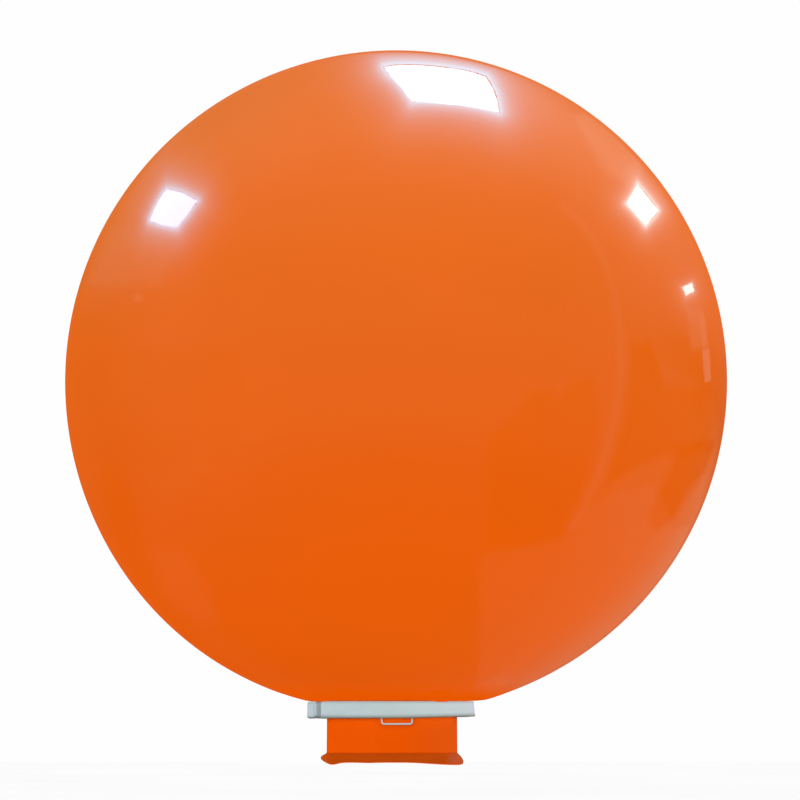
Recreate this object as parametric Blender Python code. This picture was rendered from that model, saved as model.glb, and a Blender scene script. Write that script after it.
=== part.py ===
"""Climb-in balloon: a round latex envelope, its wide flat neck with a thick lip at the mouth, and the long
hinged clip that pinches the neck shut. Metres, +Z up, the origin at the centre of the round envelope.
The clip's front is towards -Y and its hinge towards -X."""

import math

import bmesh
import bpy
from mathutils import Vector

# Gap kept between pieces that touch
SEAT = 0.0003
# Edges that turn more than this are sharp, and a bar's are rounded
SHARP_ANGLE = math.radians(35)

# Envelope: a sphere with a flat floor around the throat, rounded where the two meet
ENVELOPE_RADIUS = 0.900
ENVELOPE_WALL = 0.010
FLOOR_Z = -0.867
FLOOR_FILLET = 0.030
ENVELOPE_SIDES = 48
SPHERE_STEPS = 24
FILLET_STEPS = 3

# Neck: a tube pressed flat, a little to the hinge side of the envelope's middle
NECK_X = -0.0109
NECK_HALF_WIDTH = 0.1726
NECK_WALL = 0.002
SLIT_HALF_DEPTH = 0.00275
NECK_HALF_DEPTH = SLIT_HALF_DEPTH + NECK_WALL
NECK_BOTTOM_Z = -1.0067

# Lip: each row is (drop below the neck, reach past the neck at the hinge end, reach at the free end,
# half depth outside, half depth of the slit)
LIP_ROWS = (
    (0.0000, 0.000, 0.000, 0.00475, 0.00275),
    (0.0070, 0.0115, 0.0075, 0.00660, 0.00290),
    (0.0125, 0.0154, 0.0122, 0.00780, 0.00300),
    (0.0180, 0.0130, 0.0159, 0.00900, 0.00320),
    (0.0215, 0.0070, 0.0160, 0.00950, 0.00350),
    (0.0246, -0.0060, 0.0070, 0.00760, 0.00380),
)
LIP_END_WALL = 0.004
LIP_LOBE_DROP = 0.0052
LIP_LOBE_WIDTH = 0.026
LIP_LOBES_X = (-0.1683, 0.1587)
LIP_SIDE_STEPS = 14

# Clip: two bars that taper towards the free end
BAR_TOP_Z = -0.872
BAR_HINGE_END_HEIGHT = 0.0445
BAR_FREE_END_HEIGHT = 0.0399
BAR_START_X = -0.1990
BAR_END_TOP_X = 0.2053
BAR_END_BOTTOM_X = 0.2089
BAR_OUTER_Y = 0.0215
JAW_Y = NECK_HALF_DEPTH + SEAT
BAR_EDGE = 0.0018
BAR_EDGE_SEGMENTS = 2
SHOULDER_X = -0.1813
SHOULDER_DROP = 0.0045

# Hook at the free end of the front bar, round the end of the rear bar
HOOK_INNER_X = 0.1972
HOOK_REACH_Y = 0.012
HOOK_INSET = 0.0012
HOOK_CLEARANCE = 0.001
REAR_BAR_END_X = HOOK_INNER_X - HOOK_CLEARANCE

# Hinge: knuckles on webs set back from the bars' faces, and a web behind the gap that they leave
HINGE_X = -0.2235
BARREL_RADIUS = 0.0125
BARREL_EDGE = 0.004
BARREL_SIDES = 32
EDGE_STEPS = 4
LUG_HEIGHT = 0.006
KNUCKLE_GAP = 0.0005
PIN_RADIUS = 0.004
PIN_CLEARANCE = 0.0003
PIN_RECESS = 0.0005
WEB_NEAR_Y = 0.0035
WEB_FAR_Y = 0.0100
WEB_INSET_Z = 0.0008
WEB_OVERLAP = 0.005
BACK_WEB_GAP = 0.001
BARREL_TOP_Z = BAR_TOP_Z
BARREL_BOTTOM_Z = BAR_TOP_Z - BAR_HINGE_END_HEIGHT

# Cored pockets in the back of the rear bar, either side of a solid land
POCKETS_A_SIDE = 4
POCKET_PITCH = 0.040
POCKET_WIDTH = 0.036
POCKET_DEPTH = 0.010
POCKET_MARGIN_Z = 0.006
LAND_HALF_WIDTH = 0.030

# Pull loop: a bent rod whose arms stand in sockets in the front bar
LOOP_ROD_RADIUS = 0.0023
LOOP_LEFT_TOP_X = -0.0392
LOOP_LEFT_BOTTOM_X = -0.0368
LOOP_RIGHT_X = 0.0422
LOOP_Y = -0.0132
LOOP_BOTTOM_Z = -0.9313
LOOP_CORNER = 0.0065
LOOP_SOCKET_DEPTH = 0.008
LOOP_CORNER_STEPS = 5


def clear_scene():
    for obj in list(bpy.data.objects):
        bpy.data.objects.remove(obj)


def material(name, colour, roughness):
    made = bpy.data.materials.new(name)
    made.use_nodes = True
    shader = made.node_tree.nodes["Principled BSDF"]
    shader.inputs["Base Color"].default_value = (*colour, 1.0)
    shader.inputs["Roughness"].default_value = roughness
    shader.inputs["Metallic"].default_value = 0.0
    return made


def add_object(name, data, finish=None):
    obj = bpy.data.objects.new(name, data)
    bpy.context.scene.collection.objects.link(obj)
    if finish:
        obj.data.materials.append(finish)
    return obj


def mesh_object(name, bm, finish=None):
    bmesh.ops.recalc_face_normals(bm, faces=bm.faces)
    mesh = bpy.data.meshes.new(name)
    bm.to_mesh(mesh)
    bm.free()
    mesh.shade_smooth()
    mesh.set_sharp_from_angle(angle=SHARP_ANGLE)
    return add_object(name, mesh, finish)


def as_helper(obj):
    obj.hide_render = True
    obj.display_type = "WIRE"
    return obj


def boolean(obj, other, operation):
    step = obj.modifiers.new(operation.title() + " " + other.name, "BOOLEAN")
    step.operation = operation
    step.object = other


def round_edges(obj):
    step = obj.modifiers.new("Rounded edges", "BEVEL")
    step.width = BAR_EDGE
    step.segments = BAR_EDGE_SEGMENTS
    step.limit_method = "ANGLE"
    step.angle_limit = SHARP_ANGLE


def prism(name, outline_xz, y_low, y_high, finish=None):
    """A plate whose outline is drawn on XZ and stands from y_low to y_high."""
    bm = bmesh.new()
    front = [bm.verts.new((x, y_low, z)) for x, z in outline_xz]
    back = [bm.verts.new((x, y_high, z)) for x, z in outline_xz]
    bm.faces.new(front)
    bm.faces.new(reversed(back))
    for i in range(len(front)):
        j = (i + 1) % len(front)
        bm.faces.new((front[j], front[i], back[i], back[j]))
    return mesh_object(name, bm, finish)


def box(name, low, high):
    outline = ((low[0], low[2]), (high[0], low[2]), (high[0], high[2]), (low[0], high[2]))
    return prism(name, outline, low[1], high[1])


def turned(name, profiles, steps, finish=None):
    """Profiles of (radius, z), each from the axis to the axis and top to bottom, turned about Z."""
    bm = bmesh.new()
    for profile in profiles:
        points = [bm.verts.new((radius, 0, z)) for radius, z in profile]
        for a, b in zip(points, points[1:]):
            bm.edges.new((a, b))
    mesh = bpy.data.meshes.new(name)
    bm.to_mesh(mesh)
    bm.free()
    obj = add_object(name, mesh, finish)
    turn = obj.modifiers.new("Turn", "SCREW")
    turn.axis = "Z"
    turn.steps = steps
    turn.render_steps = steps
    turn.use_merge_vertices = True
    turn.merge_threshold = 0.00001
    turn.use_smooth_shade = True
    return obj


def rounded_cylinder(name, radius, z_low, z_high, edge_low=0.0, edge_high=0.0):
    """A cylinder about Z whose end edges are rounded by the given radii."""
    profile = [(0, z_high)]
    for edge, centre_z, first in ((edge_high, z_high - edge_high, 90), (edge_low, z_low + edge_low, 0)):
        corner_steps = EDGE_STEPS if edge else 0
        for k in range(corner_steps + 1):
            a = math.radians(first - 90 * k / max(corner_steps, 1))
            profile.append((radius - edge + edge * math.cos(a), centre_z + edge * math.sin(a)))
    profile.append((0, z_low))
    return turned(name, [profile], BARREL_SIDES)


def slot_ring(left_x, right_x, half_depth, z, side_steps=1, end_steps=6):
    """Points around a slot with round ends, in order, starting on the front side at its left end."""
    left, right = left_x + half_depth, right_x - half_depth
    ring = []
    for k in range(side_steps):
        ring.append(Vector((left + (right - left) * k / side_steps, -half_depth, z)))
    for k in range(end_steps):
        a = math.radians(-90 + 180 * k / end_steps)
        ring.append(Vector((right + half_depth * math.cos(a), half_depth * math.sin(a), z)))
    for k in range(side_steps):
        ring.append(Vector((right + (left - right) * k / side_steps, half_depth, z)))
    for k in range(end_steps):
        a = math.radians(90 + 180 * k / end_steps)
        ring.append(Vector((left + half_depth * math.cos(a), half_depth * math.sin(a), z)))
    return ring


def tube_of_rings(name, outer_rings, inner_rings, finish):
    """A thick tube from rings listed top to bottom, outside and inside."""
    bm = bmesh.new()
    outer = [[bm.verts.new(point) for point in ring] for ring in outer_rings]
    inner = [[bm.verts.new(point) for point in ring] for ring in inner_rings]
    around = len(outer[0])
    strips = list(zip(outer, outer[1:]))
    strips += [(b, a) for a, b in zip(inner, inner[1:])]
    strips += [(inner[0], outer[0]), (outer[-1], inner[-1])]
    for upper, lower in strips:
        for i in range(around):
            j = (i + 1) % around
            bm.faces.new((upper[i], lower[i], lower[j], upper[j]))
    return mesh_object(name, bm, finish)


def envelope_profile(inset):
    """(radius, z) from the top pole down the sphere, round the fillet and along the flat floor."""
    radius = ENVELOPE_RADIUS - inset
    fillet = FLOOR_FILLET - inset
    centre_z = FLOOR_Z + FLOOR_FILLET
    centre_r = math.sqrt((ENVELOPE_RADIUS - FLOOR_FILLET) ** 2 - centre_z ** 2)
    end = math.atan2(centre_r, centre_z)
    points = []
    for k in range(SPHERE_STEPS):
        a = end * k / SPHERE_STEPS
        points.append((radius * math.sin(a), radius * math.cos(a)))
    for k in range(FILLET_STEPS + 1):
        a = end + (math.pi - end) * k / FILLET_STEPS
        points.append((centre_r + fillet * math.sin(a), centre_z + fillet * math.cos(a)))
    points.append((0, FLOOR_Z + inset))
    return points


def make_envelope(latex):
    outside = envelope_profile(0)
    inside = list(reversed(envelope_profile(ENVELOPE_WALL)))
    envelope = turned("envelope", [outside, inside], ENVELOPE_SIDES, latex)
    left, right = NECK_X - NECK_HALF_WIDTH + NECK_WALL, NECK_X + NECK_HALF_WIDTH - NECK_WALL
    bm = bmesh.new()
    low = [bm.verts.new(p) for p in slot_ring(left, right, SLIT_HALF_DEPTH, FLOOR_Z - 0.02)]
    high = [bm.verts.new(p) for p in slot_ring(left, right, SLIT_HALF_DEPTH, FLOOR_Z + 0.03)]
    bm.faces.new(low)
    bm.faces.new(reversed(high))
    for i in range(len(low)):
        j = (i + 1) % len(low)
        bm.faces.new((low[i], high[i], high[j], low[j]))
    throat = as_helper(mesh_object("throat_cutter", bm))
    boolean(envelope, throat, "DIFFERENCE")


def make_neck(latex):
    left, right = NECK_X - NECK_HALF_WIDTH, NECK_X + NECK_HALF_WIDTH
    levels = (FLOOR_Z - SEAT, NECK_BOTTOM_Z)
    outer = [slot_ring(left, right, NECK_HALF_DEPTH, z) for z in levels]
    inner = [slot_ring(left + NECK_WALL, right - NECK_WALL, SLIT_HALF_DEPTH, z) for z in levels]
    tube_of_rings("neck", outer, inner, latex)


def make_mouth_lip(thick_latex):
    left, right = NECK_X - NECK_HALF_WIDTH, NECK_X + NECK_HALF_WIDTH
    deepest = LIP_ROWS[-1][0]
    outer, inner = [], []
    for drop, reach_left, reach_right, half_depth, slit in LIP_ROWS:
        z = NECK_BOTTOM_Z - SEAT - drop
        wall = max(NECK_WALL, LIP_END_WALL * drop / deepest)
        low_x, high_x = left - reach_left, right + reach_right
        outer.append(slot_ring(low_x, high_x, half_depth, z, LIP_SIDE_STEPS))
        inner.append(slot_ring(low_x + wall, high_x - wall, slit, z, LIP_SIDE_STEPS))
        for point in outer[-1] + inner[-1]:
            lobes = sum(math.exp(-(((point.x - x) / LIP_LOBE_WIDTH) ** 2)) for x in LIP_LOBES_X)
            point.z -= LIP_LOBE_DROP * lobes * (drop / deepest) ** 2
    tube_of_rings("mouth_lip", outer, inner, thick_latex)


def bar_bottom_z(x):
    """Height of the bars' sloping lower edge."""
    taper = (BAR_HINGE_END_HEIGHT - BAR_FREE_END_HEIGHT) / (BAR_END_BOTTOM_X - BAR_START_X)
    return BAR_TOP_Z - BAR_HINGE_END_HEIGHT + taper * (x - BAR_START_X)


def bar_outline(end_top_x, end_bottom_x, shoulder):
    """Outline of a clip bar seen from the front, tapering from the hinge to its free end."""
    points = [(BAR_START_X, bar_bottom_z(BAR_START_X)), (end_bottom_x, bar_bottom_z(end_bottom_x))]
    points.append((end_top_x, BAR_TOP_Z))
    if shoulder:
        points += [(SHOULDER_X, BAR_TOP_Z), (BAR_START_X, BAR_TOP_Z - SHOULDER_DROP)]
    else:
        points.append((BAR_START_X, BAR_TOP_Z))
    return points


def make_web(name, y_low, y_high, z_low, z_high, reach=BARREL_RADIUS / 2):
    """A flat link to a bar from a place at this reach from the hinge axis."""
    low = (HINGE_X + reach, y_low, z_low + WEB_INSET_Z)
    high = (BAR_START_X + WEB_OVERLAP, y_high, z_high - WEB_INSET_Z)
    return as_helper(box(name, low, high))


def pin_hole():
    hole = rounded_cylinder("pin_hole_cutter", PIN_RADIUS + PIN_CLEARANCE, BARREL_BOTTOM_Z - 0.01, BARREL_TOP_Z + 0.01)
    hole.location.x = HINGE_X
    return as_helper(hole)


def make_rear_bar(plastic, hole):
    outline = bar_outline(REAR_BAR_END_X, REAR_BAR_END_X, False)
    bar = prism("clip_rear_bar", outline, JAW_Y, BAR_OUTER_Y, plastic)
    round_edges(bar)
    for side in (-1, 1):
        for k in range(POCKETS_A_SIDE):
            x = side * (LAND_HALF_WIDTH + POCKET_PITCH * (k + 0.5))
            half = POCKET_WIDTH / 2
            low = (x - half, BAR_OUTER_Y - POCKET_DEPTH, BAR_TOP_Z - BAR_FREE_END_HEIGHT + POCKET_MARGIN_Z)
            high = (x + half, BAR_OUTER_Y + 0.01, BAR_TOP_Z - POCKET_MARGIN_Z)
            boolean(bar, as_helper(box(f"pocket_cutter_{side}_{k}", low, high)), "DIFFERENCE")
    back_web_reach = BARREL_RADIUS + BACK_WEB_GAP
    back_web_top = BARREL_TOP_Z - SHOULDER_DROP / 2
    back_web = make_web("back_web", WEB_NEAR_Y, WEB_FAR_Y, BARREL_BOTTOM_Z, back_web_top, back_web_reach)
    boolean(bar, back_web, "UNION")
    levels = (
        ("top", BARREL_TOP_Z - LUG_HEIGHT, BARREL_TOP_Z, 0, BARREL_EDGE),
        ("bottom", BARREL_BOTTOM_Z, BARREL_BOTTOM_Z + LUG_HEIGHT, BARREL_EDGE, 0),
    )
    for name, z_low, z_high, edge_low, edge_high in levels:
        lug = rounded_cylinder(f"lug_{name}", BARREL_RADIUS, z_low, z_high, edge_low, edge_high)
        lug.location.x = HINGE_X
        boolean(bar, make_web(f"lug_web_{name}", WEB_NEAR_Y, WEB_FAR_Y, z_low, z_high), "UNION")
        boolean(bar, as_helper(lug), "UNION")
    boolean(bar, hole, "DIFFERENCE")


def make_hinge_pin(plastic):
    pin = rounded_cylinder("hinge_pin", PIN_RADIUS, BARREL_BOTTOM_Z + PIN_RECESS, BARREL_TOP_Z - PIN_RECESS)
    pin.location.x = HINGE_X
    pin.data.materials.append(plastic)


def make_front_bar(plastic, hole, hinge):
    outline = bar_outline(BAR_END_TOP_X, BAR_END_BOTTOM_X, True)
    bar = prism("clip_front_bar", outline, -BAR_OUTER_Y, -JAW_Y, plastic)
    round_edges(bar)
    for name, x in (("left", LOOP_LEFT_TOP_X), ("right", LOOP_RIGHT_X)):
        z = bar_bottom_z(x)
        reach = LOOP_SOCKET_DEPTH + SEAT
        socket = rounded_cylinder(f"loop_socket_{name}", LOOP_ROD_RADIUS + SEAT, z - 0.01, z + reach)
        socket.location = (x, LOOP_Y, 0)
        boolean(bar, as_helper(socket), "DIFFERENCE")
    hook_outline = (
        (HOOK_INNER_X, bar_bottom_z(HOOK_INNER_X) + HOOK_INSET),
        (BAR_END_BOTTOM_X - HOOK_INSET, bar_bottom_z(BAR_END_BOTTOM_X) + HOOK_INSET),
        (BAR_END_TOP_X - HOOK_INSET, BAR_TOP_Z - HOOK_INSET),
        (HOOK_INNER_X, BAR_TOP_Z - HOOK_INSET),
    )
    hook = prism("end_hook", hook_outline, -(BAR_OUTER_Y + JAW_Y) / 2, HOOK_REACH_Y)
    boolean(bar, as_helper(hook), "UNION")
    z_low = BARREL_BOTTOM_Z + LUG_HEIGHT + KNUCKLE_GAP
    z_high = BARREL_TOP_Z - LUG_HEIGHT - KNUCKLE_GAP
    boolean(bar, make_web("arm_web", -WEB_FAR_Y, -WEB_NEAR_Y, z_low, z_high), "UNION")
    knuckle = rounded_cylinder("arm_knuckle", BARREL_RADIUS, z_low, z_high)
    knuckle.location.x = HINGE_X
    boolean(bar, as_helper(knuckle), "UNION")
    boolean(bar, hole, "DIFFERENCE")
    bar.parent = hinge


def rounded_corner(before, corner, after, radius, steps):
    """Points of an arc that rounds the corner between two straight runs."""
    to_before = (before - corner).normalized()
    to_after = (after - corner).normalized()
    half = to_before.angle(to_after) / 2
    reach = radius / math.tan(half)
    centre = corner + (to_before + to_after).normalized() * (radius / math.sin(half))
    start = (corner + to_before * reach - centre).normalized()
    end = (corner + to_after * reach - centre).normalized()
    return [centre + start.slerp(end, k / steps) * radius for k in range(steps + 1)]


def make_pull_loop(plastic, hinge):
    left_top = Vector((LOOP_LEFT_TOP_X, LOOP_Y, bar_bottom_z(LOOP_LEFT_TOP_X)))
    left_bottom = Vector((LOOP_LEFT_BOTTOM_X, LOOP_Y, LOOP_BOTTOM_Z))
    right_bottom = Vector((LOOP_RIGHT_X, LOOP_Y, LOOP_BOTTOM_Z))
    right_top = Vector((LOOP_RIGHT_X, LOOP_Y, bar_bottom_z(LOOP_RIGHT_X)))
    into_bar = Vector((0, 0, LOOP_SOCKET_DEPTH))
    route = [left_top + into_bar, left_top]
    route += rounded_corner(left_top, left_bottom, right_bottom, LOOP_CORNER, LOOP_CORNER_STEPS)
    route += rounded_corner(left_bottom, right_bottom, right_top, LOOP_CORNER, LOOP_CORNER_STEPS)
    route += [right_top, right_top + into_bar]
    curve = bpy.data.curves.new("pull_loop", "CURVE")
    curve.dimensions = "3D"
    curve.bevel_depth = LOOP_ROD_RADIUS
    curve.bevel_resolution = 3
    curve.use_fill_caps = True
    spline = curve.splines.new("POLY")
    spline.points.add(len(route) - 1)
    for point, place in zip(spline.points, route):
        point.co = (*place, 1)
    add_object("pull_loop", curve, plastic).parent = hinge


def main():
    clear_scene()
    latex = material("orange latex", (0.80, 0.10, 0.005), 0.18)
    thick_latex = material("dark orange latex", (0.50, 0.065, 0.005), 0.35)
    plastic = material("pale grey plastic", (0.52, 0.62, 0.66), 0.40)
    make_envelope(latex)
    make_neck(latex)
    make_mouth_lip(thick_latex)
    hinge = add_object("clip_hinge", None)
    hole = pin_hole()
    make_rear_bar(plastic, hole)
    make_hinge_pin(plastic)
    make_front_bar(plastic, hole, hinge)
    make_pull_loop(plastic, hinge)
    place_hinge(hinge)


def place_hinge(hinge):
    """Puts the moving arm's parent on the hinge axis and leaves the arm where it is."""
    hinge.location.x = HINGE_X
    for child in hinge.children:
        child.location.x = -HINGE_X


main()
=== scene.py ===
import math

import bmesh
import bpy
from mathutils import Euler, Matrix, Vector


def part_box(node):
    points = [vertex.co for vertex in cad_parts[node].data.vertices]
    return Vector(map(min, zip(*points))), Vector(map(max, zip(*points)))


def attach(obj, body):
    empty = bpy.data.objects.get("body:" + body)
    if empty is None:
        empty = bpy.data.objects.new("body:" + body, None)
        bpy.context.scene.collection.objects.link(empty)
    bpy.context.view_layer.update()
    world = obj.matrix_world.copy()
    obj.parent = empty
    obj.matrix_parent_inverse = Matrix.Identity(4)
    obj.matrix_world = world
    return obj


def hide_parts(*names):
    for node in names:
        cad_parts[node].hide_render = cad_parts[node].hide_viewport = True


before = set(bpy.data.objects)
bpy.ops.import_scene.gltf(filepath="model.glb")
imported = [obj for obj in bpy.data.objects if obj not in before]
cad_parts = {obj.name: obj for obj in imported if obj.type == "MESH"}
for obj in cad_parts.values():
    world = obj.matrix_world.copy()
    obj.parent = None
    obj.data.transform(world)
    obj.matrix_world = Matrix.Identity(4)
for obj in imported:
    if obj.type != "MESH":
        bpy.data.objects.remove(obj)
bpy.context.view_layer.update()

# Looks of a giant climb-in balloon and of the bar clip that closes its neck.
# Metres, +Z up. Pixels are of the photograph, 800 by 800, from its top left corner.

# Gap kept between pieces that touch
SEAT = 0.0003

# Camera, low over the floor and looking up
IMAGE_SIDE = 800
FOCAL_PX = 1621.6
SENSOR_MM = 36.0
CAMERA_PLACE = Vector((0.0, -4.385, -1.012))
CAMERA_PITCH = math.radians(12.36)
CAMERA_YAW = math.radians(-0.134)
CAMERA_TURN = Euler((math.pi / 2 + CAMERA_PITCH, 0, CAMERA_YAW))

# Floor of the studio
FLOOR_LEVEL = -1.15
FLOOR_SIZE = 60.0

# Envelope
ENVELOPE_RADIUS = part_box("envelope")[1].x
ENVELOPE_FLOOR_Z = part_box("envelope")[0].z
FLOOR_FILLET = 0.030
LATEX_WALL = 0.002
ENVELOPE_SIDES = 320
SPHERE_STEPS = 144
INSIDE_COARSER = 4
FILLET_STEPS = 14
THROAT_STEPS = 18
THROAT_LIP_STEPS = 7
THROAT_EDGE = 0.0042
FLOOR_SAG = 0.0030
RIPPLE_HEIGHT = 0.0007
RIPPLE_START = 0.006
RIPPLE_REACH = 0.045
# Ripples around the throat: share of the height, how many there are in a turn, and where they start
RIPPLES = ((0.6, 37, 0.8), (0.4, 61, 0.0))
# How much closer the rings lie at the throat, and the points in the round ends of a slot
THROAT_CROWDING = 1.6
SLOT_CROWDING = 14
# The envelope is fuller low down on the hinge's side and flatter on the other: height, then angle and reach
# in degrees as seen from the front, from +X towards +Z
BULGES = ((0.0066, -127, 30), (-0.0014, -63, 27))
BULGE_FADE_Z = 0.025
# The floor hangs lower over the hinge, but never onto the clip, and hangs in a fold in front of the bar
HINGE_SAG = 0.0026
HINGE_FOLD_SAG = 0.0018
HINGE_SAG_LIMIT = 0.0044
HINGE_SIDE_X = -0.15
FRONT_FOLD_SAG = 0.0057
# Where that sag starts and ends, each as X and length, and how it fades above the floor
HINGE_SAG_START = (-0.170, 0.030)
HINGE_SAG_END = (-0.262, 0.050)
SAG_FADE_Z = (0.010, 0.030)
# Folds: X or Y of the middle, and reach
HINGE_FOLD_X = (-0.204, 0.013)
FRONT_FOLD_X = (0.118, 0.028)
FRONT_FOLD_Y = (-0.048, 0.020)

# Neck and lip
NECK_LOW, NECK_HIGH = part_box("neck")
NECK_X = (NECK_LOW.x + NECK_HIGH.x) / 2
NECK_HALF_WIDTH = (NECK_HIGH.x - NECK_LOW.x) / 2
NECK_HALF_DEPTH = NECK_HIGH.y
# The neck's end is drawn up a little where the lip overlaps it
LIP_OVERLAP = 0.0009
NECK_BOTTOM_Z = NECK_LOW.z + LIP_OVERLAP
SEAM_Z = -0.8765
NECK_FOLD = 0.0042
NECK_SIDES = 288
NECK_STEPS = 56
# The neck's faces wave, and its sides thin, once it is clear of the clip: from how far above the barrel's
# bottom, and over which height
NECK_FREE_Z = (0.004, 0.035)
NECK_THINNING = 0.42
NECK_WAVE = 0.0011
# Both fade towards the lip: from which share of the way down, and over which
THINNING_FADE = (0.75, 0.25)
WAVE_FADE = (0.8, 0.2)
# Waves of the neck's faces: share of the height, how fast across, how fast down, and start
NECK_WAVES = ((1.0, 9, 3.1, 0.7), (0.6, 17, -4, 0.0))

# Lip: each row is (share of the way down, reach past the neck at the hinge end, reach at the free end,
# half depth)
LIP_ROWS = (
    (0.00, 0.0000, 0.0000, 0.00500),
    (0.08, 0.0026, 0.0023, 0.00610),
    (0.29, 0.0118, 0.0082, 0.00670),
    (0.41, 0.0147, 0.0110, 0.00720),
    (0.51, 0.0154, 0.0130, 0.00770),
    (0.63, 0.0143, 0.0151, 0.00840),
    (0.75, 0.0111, 0.0160, 0.00890),
    (0.87, 0.0054, 0.0151, 0.00940),
    (0.95, -0.0010, 0.0120, 0.00930),
    (1.00, -0.0085, 0.0040, 0.00780),
)
LIP_HEIGHT = 0.0259
LIP_WALL = 0.0022
# The lip's lower edge: lobes, by how far they hang, X and reach, and a droop, by how far, X of its start and
# length
LIP_LOBES = ((0.0052, -0.1683, 0.019), (0.0009, -0.0713, 0.022))
LIP_DROOP = (0.0060, 0.019, 0.140)
# Waves of the lip's faces: height, how fast along X, and start
LIP_WAVES = ((0.0007, 34, 1.0), (0.0004, 83, 0.0))
LIP_STEPS = 60
LIP_SIDES = 640
EAR_ROOT = 0.004
EAR_FOLD_PITCH = 0.0068
EAR_FOLD_DEPTH = 0.0011
EAR_OUTLINE = 0.0028
# Share of the way down at which the ears are whole
EAR_START = 0.2
# Where the lip's bright rim starts, as a share of the way down, and how soon it is full
LIP_RIM = (0.90, 0.08)
# Painted light on an ear: how its painted highlight rises on the folds, how dim its painted shade is between
# them, and how much dimmer along its outline
EAR_FOLD_LIGHT = 0.85
EAR_DIM = 0.25
EAR_OUTLINE_DIM = 1.1
# Middle of the painted sheen patch on the lip
SHEEN_PATCH_PLACE = (NECK_HIGH.x - 0.004, -0.009, NECK_BOTTOM_Z - 0.0165)

# Clip
BAR_LOW, BAR_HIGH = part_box("clip_front_bar")
BAR_TOP_Z = BAR_HIGH.z
BAR_OUTER_Y = -BAR_LOW.y
BARREL_BOTTOM_Z = BAR_LOW.z
JAW_Y = NECK_HALF_DEPTH + SEAT
BAR_START_X = -0.1990
BAR_HINGE_END_HEIGHT = 0.0445
BAR_FREE_END_HEIGHT = 0.0395
BAR_KNEE_X = 0.020
BAR_KNEE_RISE = 0.0005
BAR_END_TOP_X = 0.2053
BAR_END_BOTTOM_X = 0.2089
SHOULDER_X = -0.1813
SHOULDER_DROP = 0.0045
BAR_EDGE = 0.0018
HOOK_INNER_X = 0.1972
HOOK_REACH_Y = BAR_HIGH.y
HOOK_INSET = 0.0012
HOOK_EDGE = 0.0008
REAR_BAR_END_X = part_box("clip_rear_bar")[1].x
BARREL_RADIUS = 0.0125
HINGE_X = BAR_LOW.x + BARREL_RADIUS
BARREL_EDGE = 0.0055
BARREL_SIDES = 96
LUG_HEIGHT = 0.006
KNUCKLE_GAP = 0.0003
PIN_RADIUS = 0.004
PIN_CLEARANCE = 0.0003
PIN_EDGE = 0.0007
# How far a cutter stands out of what it cuts
CUT_PAST = 0.010
WEB_NEAR_Y = 0.0035
WEB_FAR_Y = 0.0100
WEB_INSET_Z = 0.0008
WEB_OVERLAP = 0.005
GROOVE_WEB_GAP = 0.001
GROOVE_WEB_REACH = BARREL_RADIUS + GROOVE_WEB_GAP
GROOVE_WEB_INSET = 0.0002
POCKETS_A_SIDE = 4
POCKET_PITCH = 0.040
POCKET_WIDTH = 0.036
POCKET_DEPTH = 0.010
POCKET_MARGIN_Z = 0.006
POCKET_CORNER = 0.0022
LAND_HALF_WIDTH = 0.030
GROOVE_HALF_HEIGHT = 0.0011
GROOVE_DEPTH = 0.0009
GROOVES_BELOW_TOP = (0.010, 0.0165, 0.023)
GROOVE_MARGIN_X = (0.010, 0.012)

# Pull loop
LOOP_LOW, LOOP_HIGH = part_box("pull_loop")
LOOP_ROD_RADIUS = 0.0023
LOOP_LEFT_TOP_X = LOOP_LOW.x + LOOP_ROD_RADIUS
LOOP_LEFT_BOTTOM_X = -0.0368
LOOP_RIGHT_X = LOOP_HIGH.x - LOOP_ROD_RADIUS
LOOP_Y = (LOOP_LOW.y + LOOP_HIGH.y) / 2
LOOP_BOTTOM_Z = LOOP_LOW.z + LOOP_ROD_RADIUS
LOOP_CORNER = 0.0065
LOOP_SOCKET_DEPTH = 0.008
LOOP_CORNER_STEPS = 12

# Painted shade in the groove beside the hinge: where it runs, and how dark it is across
GROOVE_X = (-0.2125, -0.1975)
PAST_BARREL_X = (GROOVE_X[0], GROOVE_X[0] + 0.002)
GROOVE_SHADE = (
    (0.00, 1.0),
    (0.13, (0.68, 0.68, 0.66)),
    (0.45, (0.62, 0.63, 0.62)),
    (0.75, (0.72, 0.74, 0.73)),
    (0.92, (0.88, 0.89, 0.88)),
    (1.00, 1.0),
)

# Painted shade along the bars' lower and upper edges, from the edges inwards: the shade under the bars, warm
# with the neck's bounce light, and the shade under the envelope
EDGE_SHADE_REACH = 0.011
LOWER_EDGE_SHADE = (
    (0.00, (0.44, 0.40, 0.33)),
    (0.28, (0.56, 0.51, 0.43)),
    (0.52, (0.75, 0.74, 0.71)),
    (0.75, (0.86, 0.87, 0.88)),
    (1.00, 1.0),
)
UPPER_EDGE_SHADE = (
    (0.00, (0.60, 0.57, 0.53)),
    (0.16, (0.72, 0.70, 0.67)),
    (0.38, (0.87, 0.85, 0.82)),
    (0.60, (0.97, 0.97, 0.98)),
    (1.00, 1.0),
)

# How strong the gloss is where the skin faces the eye (0) and where it turns away (1)
COAT_BY_FACING = (
    (0.00, 1.00), (0.36, 1.00), (0.55, 0.60), (0.70, 0.32), (0.80, 0.20), (0.90, 0.12), (1.00, 0.05),
)
# The same where the skin faces the lit floor behind it, low on the free end's side, with the direction of
# that place and how near to it the skin has to be
SIDE_COAT = (
    (0.00, 1.00), (0.36, 1.00), (0.55, 0.60), (0.67, 0.53), (0.75, 0.50), (0.80, 0.42), (0.86, 0.39),
    (0.92, 0.34), (1.00, 0.20),
)
SIDE_ANGLE = math.radians(-35)
SIDE_PLACE = (math.cos(SIDE_ANGLE), 0.0, math.sin(SIDE_ANGLE))
SIDE_NEAR = (0.70, 0.88)
# Where the skin is a little darker: the direction of the place, and how near to it
DARKER_PATCH_PLACE = (-0.70, -0.48, 0.52)
DARKER_PATCH_NEAR = (0.84, 0.97)
DARKER_PATCH_TONE = (0.93, 0.98, 1.0)
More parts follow.
